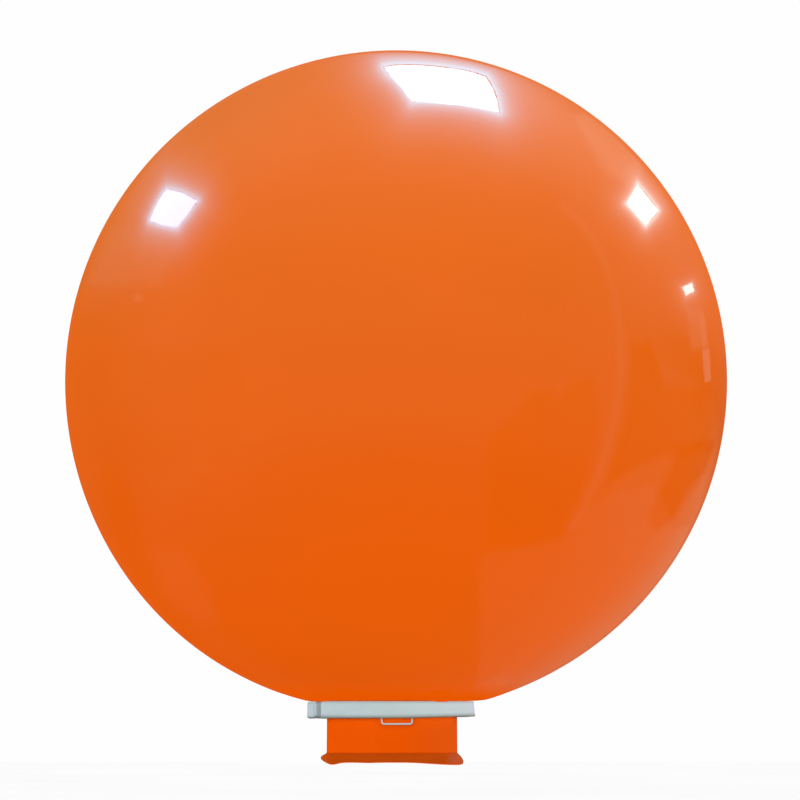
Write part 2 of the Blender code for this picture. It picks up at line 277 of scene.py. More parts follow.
# The skin's gloss is dull at the throat up to a height, and a painted shadow darkens it close beside the
# slot, by Y and by height
DULL_Z = (ENVELOPE_FLOOR_Z + 0.002, ENVELOPE_FLOOR_Z + 0.002 + 0.035)
SLOT_SHADE_Y = (NECK_HALF_DEPTH + 0.004, NECK_HALF_DEPTH + 0.011)
SLOT_SHADE_Z = (ENVELOPE_FLOOR_Z + 0.004, ENVELOPE_FLOOR_Z + 0.012)

# Lamps: the light, the halo's strength, colour and how much further it goes towards the left, right, top and
# bottom, and the outline of the lamp's white reflection in the photograph
COOL_HALO = (0.0, 0.70, 1.0)
WARM_HALO = (0.35, 0.92, 1.0)
LAMPS = (
    ("top", (6, 16, 20), 1.12, COOL_HALO, (1.3, 1.7, 1.8, 1.5), (
        (383.9, 67.0), (391, 65.7), (403, 64.9), (420, 65.2), (437, 66.6), (454, 68.6), (471, 71.8),
        (485.7, 76.6), (492.8, 88), (497.3, 101), (499.3, 112.3), (489, 110.2), (477.9, 107.8),
        (460.5, 105.2), (443, 103.6), (428.6, 102.2), (411.8, 101.6), (402.3, 88.2), (388.9, 73.6),
    )),
    ("left", (3.6, 13, 22), 1.0, COOL_HALO, (0.55, 0.78, 1.2, 1.15), (
        (166.8, 189.3), (173, 190.2), (183, 193.0), (192.4, 197.9), (197.6, 200.6), (194.7, 204.0),
        (188.2, 214), (183, 220.3), (177.6, 227.5), (172.9, 227.5), (163.9, 225.5), (158.6, 224.1),
        (149.4, 220.3), (153.5, 210.2), (158, 201.2), (163.3, 192.9),
    )),
    ("right", (5, 14, 14.5), 0.9, WARM_HALO, (0.56, 0.46, 0.8, 0.62), (
        (626.5, 203.9), (637.7, 184.2), (658.6, 210.6), (645.7, 226.0),
    )),
    ("small", (4, 12, 12.5), 0.3, WARM_HALO, (0.4, 0.4, 0.4, 0.7), (
        (682.2, 287.3), (692.1, 282.6), (694.3, 291.3), (685.9, 295.7),
    )),
)
# Rings of a halo by how far past the outline they are, in pixels, the gap before the first, and how far
# their points are turned, as a share of one
HALO_RINGS = (0, 2, 4, 7, 11, 16, 23, 32, 44, 60)
HALO_GAP = 0.4
HALO_TURN = 0.37
HALO_SIDES = 80
# Light of a halo: a near and a far part, by the light at the outline and the reach in pixels, less a little
HALO_PARTS = ((8.0, 3.3), (4.9, 13))
HALO_LESS = 0.05
# How far from the envelope's centre the panels are that show in its gloss
PANEL_DISTANCE = 5.0
HALO_DISTANCE = 4.95
WALL_EDGE_DISTANCE = 4.9
# Envelope's disc in the photograph, and from where on pixels are drawn in to it
DISC_MIDDLE = (395.7, 382.0)
DISC_REACH = 330.0
DISC_FREE = 322.0

# Faint shapes of the room in the envelope's gloss: the light that each adds, the share of the room's own
# light that it lets through, how many pixels wide its soft edge is, and its outline
ROOM_AREAS = (
    ("far_corner", 0.0, 0.55, 12, (
        (489, 545), (488, 520), (486, 490), (487, 462), (494, 430), (514, 414), (530, 392), (548, 388),
        (560, 400), (572, 380), (594, 378), (600, 420), (592, 470), (576, 506), (560, 538), (520, 547),
    )),
    ("side_corner", 0.0, 0.38, 14, (
        (630, 345), (650, 340), (664, 384), (704, 390), (714, 430), (704, 452), (664, 458), (640, 466),
        (605, 486), (614, 455), (624, 420), (629, 380),
    )),
    ("side_notch", 0.0, 0.30, 12, (
        (676, 452), (704, 438), (717, 440), (706, 470), (692, 488), (672, 520), (655, 532), (648, 518),
        (660, 490),
    )),
    ("lit_floor", 0.115, 1.0, 9, (
        (480, 556), (512, 549), (560, 542), (580, 514), (598, 500), (622, 492), (650, 484), (662, 500),
        (674, 528), (692, 528), (684, 556), (660, 592), (620, 632), (580, 662), (540, 690), (472, 716),
        (475, 694), (479, 670), (480, 650), (480, 630), (480, 605), (480, 580),
    )),
    ("low_glow", 0.09, 1.0, 6, (
        (424, 688), (470, 687), (494, 678), (505, 672), (512, 679), (494, 700), (460, 706), (426, 704),
    )),
    ("left_ceiling", 0.20, 1.0, 14, ((84, 284), (120, 286), (160, 284), (176, 250), (150, 226), (112, 228))),
    ("left_wall", 0.0, 0.86, 6, (
        (92, 345), (150, 350), (200, 348), (244, 352), (244, 400), (238, 440), (225, 462), (180, 472),
        (130, 460), (95, 430),
    )),
    ("left_lamp", 0.35, 1.0, 3, ((134, 294), (141, 294), (142, 301), (134, 301))),
    ("left_glow", 0.09, 1.0, 24, ((150, 545), (185, 550), (210, 590), (222, 618), (205, 618), (170, 590))),
    ("right_ceiling", 0.45, 1.0, 12, (
        (574, 118), (592, 106), (618, 128), (646, 164), (626, 182), (604, 172),
    )),
    ("far_lamps", 0.75, 1.0, 3, ((702, 350), (709, 348), (711, 380), (705, 383))),
    ("far_window", 0.30, 1.0, 7, ((686, 309), (702, 307), (708, 346), (692, 350))),
    ("far_pane", 0.25, 1.0, 3, ((700, 316), (705, 315), (708, 346), (702, 347))),
)
AREA_RINGS = 7
AREA_COLOUR = (0.5, 1.1, 1.0)
# Thin arc of light where two walls meet: its middle line, its half width and the light that it adds
WALL_EDGE = (
    (560, 205), (576, 218), (592, 238), (605, 262), (613, 288), (619, 320), (621, 355), (619, 390),
    (613, 425), (605, 455), (595, 482), (583, 508), (568, 530),
)
WALL_EDGE_HALF_WIDTH = 7
WALL_EDGE_LIGHT = 0.17
# Brightness of the room in the gloss by the height of the direction: in front of the object, and behind it
# on the hinge's side and on the free end's side
FRONT_ROOM = (
    (-1.0, 0.05), (-0.94, 0.06), (-0.88, 0.09), (-0.66, 0.14), (-0.52, 0.19), (-0.42, 0.27),
    (0.0, 0.31), (0.5, 0.35), (0.75, 0.49), (0.90, 0.58), (1.0, 0.62),
)
BACK_LEFT_ROOM = (
    (-1.0, 0.03), (-0.7, 0.04), (-0.45, 0.08), (-0.3, 0.07), (-0.2, 0.05), (-0.12, 0.08), (0.0, 0.13),
    (0.1, 0.13), (0.2, 0.13), (0.29, 0.18), (0.37, 0.36), (0.45, 0.51), (0.52, 0.68), (0.62, 0.52),
    (0.8, 0.58), (0.92, 0.62), (1.0, 0.60),
)
BACK_RIGHT_ROOM = (
    (-1.0, 0.05), (-0.75, 0.11), (-0.6, 0.18), (-0.4, 0.25), (-0.26, 0.28), (-0.1, 0.32), (0.0, 0.36),
    (0.065, 0.24), (0.137, 0.10), (0.21, 0.15), (0.29, 0.40), (0.5, 0.78), (0.7, 1.15), (0.8, 1.25),
    (0.95, 0.95), (1.0, 0.60),
)
# Where one side of the room passes into the other, by X of the direction, and its front into its back, by Y
SIDE_TO_SIDE = (-0.25, 0.45)
FRONT_TO_BACK = (-0.25, 0.55)
# How red that light is for its blue, and how green it is below this level on the free end's side
LEFT_RED = 0.30
RIGHT_RED = 0.80
FRONT_RED = 0.80
FLOOR_GREEN = 1.35
LOW_ROOM = 0.1
# Even light, by the height of the direction
FILL_BY_HEIGHT = (
    (-1.0, 0.10), (-0.45, 0.25), (-0.15, 0.90), (0.0, 1.80), (0.15, 1.80), (0.4, 1.15), (1.0, 0.60),
)
FILL_STRENGTH = 1.13
UNDER_LIGHT = 2.15
UNDER_LIGHT_ANGLE = math.radians(60)
# Soft light on the neck below the front bar, which would shade it otherwise: its power, size and place
BAR_LIGHT = 0.015
BAR_LIGHT_SIZE = (0.33, 0.004)
BAR_LIGHT_PLACE = (NECK_X, -0.023, -0.916)
BACKDROP_WHITE = 0.99


def smooth(share):
    share = max(0.0, min(1.0, share))
    return share * share * (3 - 2 * share)


def rise(value, start, length):
    """0 up to the start, and 1 from a length past it."""
    return smooth((value - start) / length)


def hump(value, middle, reach):
    """1 at the middle, and less on both sides."""
    return math.exp(-(((value - middle) / reach) ** 2))


def mix(a, b, share):
    return a + (b - a) * share


def row_at(rows, share):
    """The values of a table at a share of the way through it, on a smooth curve through its rows."""
    last = len(rows) - 2
    k = min(last, max(i for i in range(len(rows)) if rows[i][0] <= share))
    a, b = rows[k], rows[k + 1]
    before, after = rows[max(k - 1, 0)], rows[min(k + 2, len(rows) - 1)]
    span = b[0] - a[0]
    t = (share - a[0]) / span
    values = []
    for i in range(1, len(a)):
        slope_a = (b[i] - before[i]) / max(b[0] - before[0], 1e-9) * span
        slope_b = (after[i] - a[i]) / max(after[0] - a[0], 1e-9) * span
        start = (1 + 2 * t) * (1 - t) ** 2 * a[i] + t * (1 - t) ** 2 * slope_a
        end = t * t * (3 - 2 * t) * b[i] + t * t * (t - 1) * slope_b
        values.append(start + end)
    return values


# Objects


def around(count):
    """The turns of points spaced evenly around."""
    return [2 * math.pi * k / count for k in range(count)]


def add_object(name, data, finish=None):
    obj = bpy.data.objects.new(name, data)
    bpy.context.scene.collection.objects.link(obj)
    if finish:
        data.materials.append(finish)
    return obj


def mesh_object(name, bm, finish=None):
    """A shaded-smooth object."""
    bmesh.ops.recalc_face_normals(bm, faces=bm.faces)
    mesh = bpy.data.meshes.new(name)
    bm.to_mesh(mesh)
    bm.free()
    mesh.shade_smooth()
    return add_object(name, mesh, finish)


def bridge(bm, upper, lower, closed=True):
    """Faces between two rings of vertices; a ring of one is a pole."""
    count = max(len(upper), len(lower))
    for i in range(count if closed else count - 1):
        j = (i + 1) % count
        if len(upper) == 1:
            bm.faces.new((upper[0], lower[i], lower[j]))
        elif len(lower) == 1:
            bm.faces.new((upper[i], lower[0], upper[j]))
        else:
            bm.faces.new((upper[i], lower[i], lower[j], upper[j]))


def lofted(name, rings, finish, values=None):
    """A closed skin through rings of points. values, where given, holds a number for each point, kept on the
    mesh as "rim"."""
    bm = bmesh.new()
    rim = bm.verts.layers.float.new("rim") if values else None
    made = []
    for i, ring in enumerate(rings):
        made.append([bm.verts.new(point) for point in ring])
        if values:
            for vertex, value in zip(made[-1], values[i]):
                vertex[rim] = value
    for upper, lower in zip(made, made[1:]):
        bridge(bm, upper, lower)
    if len(made[0]) > 1:
        bridge(bm, made[-1], made[0])
    return mesh_object(name, bm, finish)


def apply_modifiers(obj):
    """Puts what the modifiers make into the object's own mesh."""
    depsgraph = bpy.context.evaluated_depsgraph_get()
    made = bpy.data.meshes.new_from_object(obj.evaluated_get(depsgraph))
    obj.modifiers.clear()
    obj.data = made


# Latex


def slot_point(turn, half_width, half_depth):
    """A point of a flat slot's outline with round ends, for a turn around it."""
    core = half_width - half_depth
    swing = math.atan2(math.sin(turn) * SLOT_CROWDING, math.cos(turn))
    return core * math.cos(turn) + half_depth * math.cos(swing), half_depth * math.sin(swing)


def neck_slot(turn, out):
    """A point of the neck's outline, moved outwards."""
    slot_x, slot_y = slot_point(turn, NECK_HALF_WIDTH + out, NECK_HALF_DEPTH + out)
    return NECK_X + slot_x, slot_y


def envelope_rings(inset, coarse):
    """Rings from the top pole down the sphere, round the fillet, in over the sagging floor and down through
    the throat to the seam with the neck, all moved inwards by inset."""
    radius = ENVELOPE_RADIUS - inset
    fillet = FLOOR_FILLET - inset
    centre_z = ENVELOPE_FLOOR_Z + FLOOR_FILLET
    centre_r = math.sqrt((ENVELOPE_RADIUS - FLOOR_FILLET) ** 2 - centre_z ** 2)
    end = math.atan2(centre_r, centre_z)
    turns = around(ENVELOPE_SIDES)
    rings = [[Vector((0, 0, radius))]]
    circles = []
    steps = SPHERE_STEPS // coarse
    for k in range(1, steps):
        a = end * k / steps
        circles.append((radius * math.sin(a), radius * math.cos(a)))
    for k in range(FILLET_STEPS):
        a = mix(end, math.pi, k / FILLET_STEPS)
        circles.append((centre_r + fillet * math.sin(a), centre_z + fillet * math.cos(a)))
    for r, z in circles:
        rings.append([bulged(Vector((r * math.cos(a), r * math.sin(a), z))) for a in turns])
    for k in range(THROAT_STEPS + 1):
        rings.append([throat_point(k / THROAT_STEPS, a, centre_r, inset) for a in turns])
    for k in range(1, THROAT_LIP_STEPS + 1):
        rings.append([throat_lip_point(k / THROAT_LIP_STEPS, a, inset) for a in turns])
    rings.append([Vector((*neck_slot(a, -inset), SEAM_Z)) for a in turns])
    return rings


def bulged(point):
    """The point moved by the envelope's bulges, which fade towards front, back and floor, and by its sag."""
    turn = math.degrees(math.atan2(point.z, point.x))
    out = point.normalized()
    above = point.z - ENVELOPE_FLOOR_Z
    fade = (1 - out.y ** 2) ** 2 * smooth(above / BULGE_FADE_Z)
    height = sum(bulge * hump((turn - angle + 180) % 360 - 180, 0, reach) for bulge, angle, reach in BULGES)
    moved = point + out * height * fade
    moved.z -= hinge_sag(point.x) * (1 - rise(above, *SAG_FADE_Z))
    return moved


def hinge_sag(x):
    start, start_length = HINGE_SAG_START
    end, end_length = HINGE_SAG_END
    broad = smooth((start - x) / start_length) * (1 - smooth((end - x) / end_length))
    return HINGE_SAG * broad + HINGE_FOLD_SAG * hump(x, *HINGE_FOLD_X)


def front_fold_sag(x, y):
    return FRONT_FOLD_SAG * hump(x, *FRONT_FOLD_X) * hump(y, *FRONT_FOLD_Y)


def throat_point(share, turn, floor_radius, inset):
    """On the floor, from its rim at share 0 to the rounded edge of the throat at share 1."""
    near = 1 - (1 - share) ** THROAT_CROWDING
    slot_x, slot_y = neck_slot(turn, THROAT_EDGE)
    x = mix(floor_radius * math.cos(turn), slot_x, near)
    y = mix(floor_radius * math.sin(turn), slot_y, near)
    away = math.hypot(x - slot_x, y - slot_y)
    sag = FLOOR_SAG * math.sin(math.pi * smooth(share)) ** 2
    ripple = sum(part * math.sin(count * turn + start) for part, count, start in RIPPLES)
    fade = hump(away, 0, RIPPLE_REACH) * smooth(away / RIPPLE_START)
    hanging = sag - RIPPLE_HEIGHT * ripple * fade + hinge_sag(x)
    if x < HINGE_SIDE_X:
        hanging = min(hanging, HINGE_SAG_LIMIT)
    return Vector((x, y, ENVELOPE_FLOOR_Z + inset - hanging - front_fold_sag(x, y)))


def throat_lip_point(share, turn, inset):
    """Round the throat's edge, from the floor down to the neck."""
    a = share * math.pi / 2
    out = THROAT_EDGE * (1 - math.sin(a)) - inset
    z = ENVELOPE_FLOOR_Z + inset - (THROAT_EDGE + inset) * (1 - math.cos(a))
    return Vector((*neck_slot(turn, out), z))


def make_envelope(finish):
    outer = envelope_rings(0, 1)
    inner = envelope_rings(LATEX_WALL, INSIDE_COARSER)
    skin = lofted("envelope_skin", outer + inner[::-1], finish)
    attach(skin, "balloon")
    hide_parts("envelope")
    return skin


def neck_point(share, turn, inset):
    """Below the clip the neck's folded sides draw in to thin edges, and its faces wave a little."""
    z = mix(SEAM_Z - SEAT, NECK_BOTTOM_Z, share)
    free_start, free_height = NECK_FREE_Z
    free = smooth((BARREL_BOTTOM_Z + free_start - z) / free_height)
    across = math.cos(turn)
    x, slot_y = neck_slot(turn, -inset)
    thin = 1 - NECK_THINNING * free * abs(across) ** 6 * (1 - rise(share, *THINNING_FADE))
    wave = 0
    for part, fast, down, start in NECK_WAVES:
        wave += part * math.sin(fast * across + down * share + start)
    y = slot_y * thin + NECK_WAVE * free * (1 - rise(share, *WAVE_FADE)) * wave * (1 - across ** 8)
    return Vector((x, y, z))


def make_neck(finish):
    turns = around(NECK_SIDES)
    rings = []
    for inset, order in ((0, range(NECK_STEPS + 1)), (LATEX_WALL, range(NECK_STEPS, -1, -1))):
        rings += [[neck_point(k / NECK_STEPS, a, inset) for a in turns] for k in order]
    fold_start = NECK_HALF_WIDTH - NECK_FOLD
    fold = [[smooth((abs(p.x - NECK_X) - fold_start) / NECK_FOLD) for p in ring] for ring in rings]
    skin = lofted("neck_skin", rings, finish, fold)
    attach(skin, "balloon")
    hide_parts("neck")
    return skin


def lip_edge_drop(x):
    """How far the lip's lower edge hangs below its straight middle: in lobes towards the hinge end, and in a
    long droop towards the free end."""
    lobes = sum(hang * hump(x, middle, reach) for hang, middle, reach in LIP_LOBES)
    droop, *run = LIP_DROOP
    return lobes + droop * rise(x, *run)


def lip_point(share, turn, wall):
    """On the lip, from the neck at share 0 to the lower edge at share 1."""
    reach_left, reach_right, half_depth = row_at(LIP_ROWS, share)
    low_x = NECK_X - NECK_HALF_WIDTH - reach_left + wall
    high_x = NECK_X + NECK_HALF_WIDTH + reach_right - wall
    slot_x, slot_y = slot_point(turn, (high_x - low_x) / 2, half_depth - wall)
    x = (low_x + high_x) / 2 + slot_x
    drop = LIP_HEIGHT * share + lip_edge_drop(x) * share ** 2
    wave = sum(height * share * math.sin(fast * x + start) for height, fast, start in LIP_WAVES)
    part, inside, height = ear_fold(x, share)
    pleat = EAR_FOLD_DEPTH * part * (1 - height)
    y = slot_y + (wave - math.copysign(pleat, slot_y)) * (1 - abs(math.cos(turn)) ** 10)
    return Vector((x, y, NECK_BOTTOM_Z - SEAT + LIP_OVERLAP - drop))


def ear_fold(x, share):
    """Folds that run beside the outline of the two ears: how much a point belongs to an ear, how far it is
    inside the outline, and how high it is on a fold."""
    reach_left, reach_right, half_depth = row_at(LIP_ROWS, share)
    left = x - (NECK_LOW.x - reach_left)
    right = NECK_HIGH.x + reach_right - x
    inside, reach = (left, reach_left) if left < right else (right, reach_right)
    part = smooth((reach + EAR_ROOT - inside) / EAR_ROOT) * smooth(share / EAR_START)
    return part, inside, 0.5 - 0.5 * math.cos(2 * math.pi * (inside / EAR_FOLD_PITCH - 0.25))


def make_lip(finish):
    turns = around(LIP_SIDES)
    rings, rim = [], []
    for wall, order in ((0.0, range(LIP_STEPS + 1)), (LIP_WALL, range(LIP_STEPS, -1, -1))):
        for k in order:
            share = k / LIP_STEPS
            rings.append([lip_point(share, a, wall) for a in turns])
            edge = rise(share, *LIP_RIM)
            # Each point's rim value: the rim's brightness, plus the painted light and shade of the ears'
            # folds
            rim.append([edge + ear_light(point.x, share) for point in rings[-1]])
    lip = lofted("lip_band", rings, finish, rim)
    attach(lip, "balloon")
    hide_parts("mouth_lip")
    return lip


def ear_light(x, share):
    """Above 0 where a painted highlight lies on an ear's folds; below 0 where painted shade lies between
    them and along its outline.
    """
    part, inside, height = ear_fold(x, share)
    outline = smooth((EAR_OUTLINE - inside) / EAR_OUTLINE)
    return part * (EAR_FOLD_LIGHT * height - EAR_DIM - EAR_OUTLINE_DIM * outline)


# Clip


def prism(name, outline_xz, y_low, y_high, finish=None):
    """A plate whose outline is drawn on XZ and stands from y_low to y_high."""
    bm = bmesh.new()
    front = [bm.verts.new((x, y_low, z)) for x, z in outline_xz]
    back = [bm.verts.new((x, y_high, z)) for x, z in outline_xz]
    bm.faces.new(front)
    bm.faces.new(reversed(back))
    for i in range(len(front)):
        j = (i + 1) % len(front)
        bm.faces.new((front[j], front[i], back[i], back[j]))
    return mesh_object(name, bm, finish)


def box_outline(x_low, z_low, x_high, z_high):
    return ((x_low, z_low), (x_high, z_low), (x_high, z_high), (x_low, z_high))


def bevel(obj, width, segments, angle=35):
    step = obj.modifiers.new("Rounded edges", "BEVEL")
    step.width = width
    step.segments = segments
    step.limit_method = "ANGLE"
    step.angle_limit = math.radians(angle)


def boolean(obj, other, operation):
    """Cuts or joins another object and then drops it."""
    step = obj.modifiers.new(operation.title(), "BOOLEAN")
    step.operation = operation
    step.object = other
    apply_modifiers(obj)
    bpy.data.objects.remove(other)


def rounded_cylinder(name, radius, z_low, z_high, edge_low=0.0, edge_high=0.0, sides=BARREL_SIDES):
    """A cylinder about the hinge axis whose end edges are rounded by the given radii."""
    corner_steps = 8
    profile = []
    for edge, centre_z, first in ((edge_high, z_high - edge_high, 90), (edge_low, z_low + edge_low, 0)):
        for k in range((corner_steps if edge else 0) + 1):
            a = math.radians(first - 90 * k / corner_steps)
            profile.append((radius - edge + edge * math.cos(a), centre_z + edge * math.sin(a)))
    turns = around(sides)
    bm = bmesh.new()
    rings = [[bm.verts.new((r * math.cos(a), r * math.sin(a), z)) for a in turns] for r, z in profile]
    bm.faces.new(rings[0])
    bm.faces.new(reversed(rings[-1]))
    for upper, lower in zip(rings, rings[1:]):
        bridge(bm, upper, lower)
    obj = mesh_object(name, bm)
    obj.location.x = HINGE_X
    return obj


def bar_bottom_z(x):
    """Height of the bars' lower edge, which rises a little up to its knee and faster from there."""
    end_rise = BAR_HINGE_END_HEIGHT - BAR_FREE_END_HEIGHT
    if x < BAR_KNEE_X:
        rise = BAR_KNEE_RISE * (x - BAR_START_X) / (BAR_KNEE_X - BAR_START_X)
    else:
        share = (x - BAR_KNEE_X) / (BAR_END_BOTTOM_X - BAR_KNEE_X)
        rise = BAR_KNEE_RISE + (end_rise - BAR_KNEE_RISE) * share
    return BAR_TOP_Z - BAR_HINGE_END_HEIGHT + rise


def bar_outline(end_top_x, end_bottom_x, shoulder):
    points = [(x, bar_bottom_z(x)) for x in (BAR_START_X, BAR_KNEE_X, end_bottom_x)]
    points.append((end_top_x, BAR_TOP_Z))
    if shoulder:
        points += [(SHOULDER_X, BAR_TOP_Z), (BAR_START_X, BAR_TOP_Z - SHOULDER_DROP)]
    else:
        points.append((BAR_START_X, BAR_TOP_Z))
    return points


def add_web(bar, side, z_low, z_high, reach=BARREL_RADIUS / 2, inset=WEB_INSET_Z):
    """Joins a flat link to a bar, from a place at this reach from the hinge axis; side is 1 for the back bar
    and -1 for the front one."""
    outline = box_outline(HINGE_X + reach, z_low + inset, BAR_START_X + WEB_OVERLAP, z_high - inset)
    boolean(bar, prism("web", outline, *sorted((side * WEB_NEAR_Y, side * WEB_FAR_Y))), "UNION")


def add_knuckle(bar, side, z_low, z_high, edge_low=0, edge_high=0):
    """Joins a knuckle and its link to a bar."""
    add_web(bar, side, z_low, z_high)
    boolean(bar, rounded_cylinder("knuckle", BARREL_RADIUS, z_low, z_high, edge_low, edge_high), "UNION")


def cut_pin_hole(bar):
    radius = PIN_RADIUS + PIN_CLEARANCE
    hole = rounded_cylinder("hole", radius, BARREL_BOTTOM_Z - CUT_PAST, BAR_TOP_Z + CUT_PAST)
    boolean(bar, hole, "DIFFERENCE")


def finish_bar(bar, body, node):
    """Crisp where faces meet at an angle, smooth over the rounded edges."""
    bar.data.shade_smooth()
    bar.data.set_sharp_from_angle(angle=math.radians(32))
    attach(bar, body)
    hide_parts(node)


def make_rear_bar(finish):
    outline = bar_outline(REAR_BAR_END_X, REAR_BAR_END_X, False)
    bar = prism("rear_bar", outline, JAW_Y, BAR_OUTER_Y, finish)
    bevel(bar, BAR_EDGE, 4)
    apply_modifiers(bar)
    for side in (-1, 1):
        for k in range(POCKETS_A_SIDE):
            x = side * (LAND_HALF_WIDTH + POCKET_PITCH * (k + 0.5))
            low_z = BAR_TOP_Z - BAR_FREE_END_HEIGHT + POCKET_MARGIN_Z
            outline = box_outline(
                x - POCKET_WIDTH / 2, low_z, x + POCKET_WIDTH / 2, BAR_TOP_Z - POCKET_MARGIN_Z
            )
            cutter = prism("pocket", outline, BAR_OUTER_Y - POCKET_DEPTH, BAR_OUTER_Y + CUT_PAST)
            bevel(cutter, POCKET_CORNER, 4)
            boolean(bar, cutter, "DIFFERENCE")
    cut_grip_grooves(bar, JAW_Y - CUT_PAST, JAW_Y + GROOVE_DEPTH)
    add_web(bar, 1, BARREL_BOTTOM_Z, BAR_TOP_Z - SHOULDER_DROP / 2, GROOVE_WEB_REACH, GROOVE_WEB_INSET)
    add_knuckle(bar, 1, BAR_TOP_Z - LUG_HEIGHT, BAR_TOP_Z, 0, BARREL_EDGE)
    add_knuckle(bar, 1, BARREL_BOTTOM_Z, BARREL_BOTTOM_Z + LUG_HEIGHT, BARREL_EDGE, 0)
    cut_pin_hole(bar)
    finish_bar(bar, "balloon", "clip_rear_bar")


def cut_grip_grooves(bar, y_low, y_high):
    """Long shallow grooves in a jaw face, which grip the neck."""
    start, end = GROOVE_MARGIN_X
    for below in GROOVES_BELOW_TOP:
        z = BAR_TOP_Z - below
        outline = box_outline(
            BAR_START_X + start, z - GROOVE_HALF_HEIGHT, REAR_BAR_END_X - end, z + GROOVE_HALF_HEIGHT
        )
        boolean(bar, prism("groove", outline, y_low, y_high), "DIFFERENCE")


def make_front_bar(finish):
    outline = bar_outline(BAR_END_TOP_X, BAR_END_BOTTOM_X, True)
    bar = prism("front_bar", outline, -BAR_OUTER_Y, -JAW_Y, finish)
    bevel(bar, BAR_EDGE, 5)
    apply_modifiers(bar)
    for x in (LOOP_LEFT_TOP_X, LOOP_RIGHT_X):
        z = bar_bottom_z(x)
        radius, top = LOOP_ROD_RADIUS + SEAT, z + LOOP_SOCKET_DEPTH + SEAT
        socket = rounded_cylinder("socket", radius, z - CUT_PAST, top, sides=32)
        socket.location = (x, LOOP_Y, 0)
        boolean(bar, socket, "DIFFERENCE")
    cut_grip_grooves(bar, -JAW_Y - GROOVE_DEPTH, -JAW_Y + CUT_PAST)
    hook_outline = (
        (HOOK_INNER_X, bar_bottom_z(HOOK_INNER_X) + HOOK_INSET),
        (BAR_END_BOTTOM_X - HOOK_INSET, bar_bottom_z(BAR_END_BOTTOM_X) + HOOK_INSET),
        (BAR_END_TOP_X - HOOK_INSET, BAR_TOP_Z - HOOK_INSET),
        (HOOK_INNER_X, BAR_TOP_Z - HOOK_INSET),
    )
    hook = prism("hook", hook_outline, -(BAR_OUTER_Y + JAW_Y) / 2, HOOK_REACH_Y)
    bevel(hook, HOOK_EDGE, 3)
    boolean(bar, hook, "UNION")
    add_web(bar, -1, BARREL_BOTTOM_Z, BAR_TOP_Z - SHOULDER_DROP, GROOVE_WEB_REACH, GROOVE_WEB_INSET)
    beyond_lug = LUG_HEIGHT + KNUCKLE_GAP
    add_knuckle(bar, -1, BARREL_BOTTOM_Z + beyond_lug, BAR_TOP_Z - beyond_lug)
    cut_pin_hole(bar)
    finish_bar(bar, "clip_arm", "clip_front_bar")


def make_pin(finish):
    low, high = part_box("hinge_pin")
    pin = rounded_cylinder("pin", PIN_RADIUS, low.z, high.z, PIN_EDGE, PIN_EDGE, sides=64)
    pin.data.materials.append(finish)
    finish_bar(pin, "balloon", "hinge_pin")


def rounded_corner(before, corner, after, radius, steps):
    """Points of an arc that rounds the corner between two straight runs."""
    to_before = (before - corner).normalized()
    to_after = (after - corner).normalized()
    half = to_before.angle(to_after) / 2
    reach = radius / math.tan(half)
    centre = corner + (to_before + to_after).normalized() * (radius / math.sin(half))
    start = (corner + to_before * reach - centre).normalized()
    end = (corner + to_after * reach - centre).normalized()
    return [centre + start.slerp(end, k / steps) * radius for k in range(steps + 1)]


def make_pull_loop(finish):
    left_top, left_bottom, right_bottom, right_top = (Vector((x, LOOP_Y, z)) for x, z in (
        (LOOP_LEFT_TOP_X, bar_bottom_z(LOOP_LEFT_TOP_X)),
        (LOOP_LEFT_BOTTOM_X, LOOP_BOTTOM_Z),
        (LOOP_RIGHT_X, LOOP_BOTTOM_Z),
        (LOOP_RIGHT_X, bar_bottom_z(LOOP_RIGHT_X)),
    ))
    into_bar = Vector((0, 0, LOOP_SOCKET_DEPTH))
    route = [left_top + into_bar, left_top]
    route += rounded_corner(left_top, left_bottom, right_bottom, LOOP_CORNER, LOOP_CORNER_STEPS)
    route += rounded_corner(left_bottom, right_bottom, right_top, LOOP_CORNER, LOOP_CORNER_STEPS)
    route += [right_top, right_top + into_bar]
    curve = bpy.data.curves.new("loop", "CURVE")
    curve.dimensions = "3D"
    curve.bevel_depth = LOOP_ROD_RADIUS
    curve.bevel_resolution = 8
    curve.use_fill_caps = True
    spline = curve.splines.new("POLY")
    spline.points.add(len(route) - 1)
    for point, place in zip(spline.points, route):
        point.co = (*place, 1)
    rod = add_object("loop_rod", curve)
    mesh = bpy.data.meshes.new_from_object(rod.evaluated_get(bpy.context.evaluated_depsgraph_get()))
    bpy.data.objects.remove(rod)
    mesh.materials.clear()
    loop = add_object("loop", mesh, finish)
    finish_bar(loop, "clip_arm", "pull_loop")


# Materials


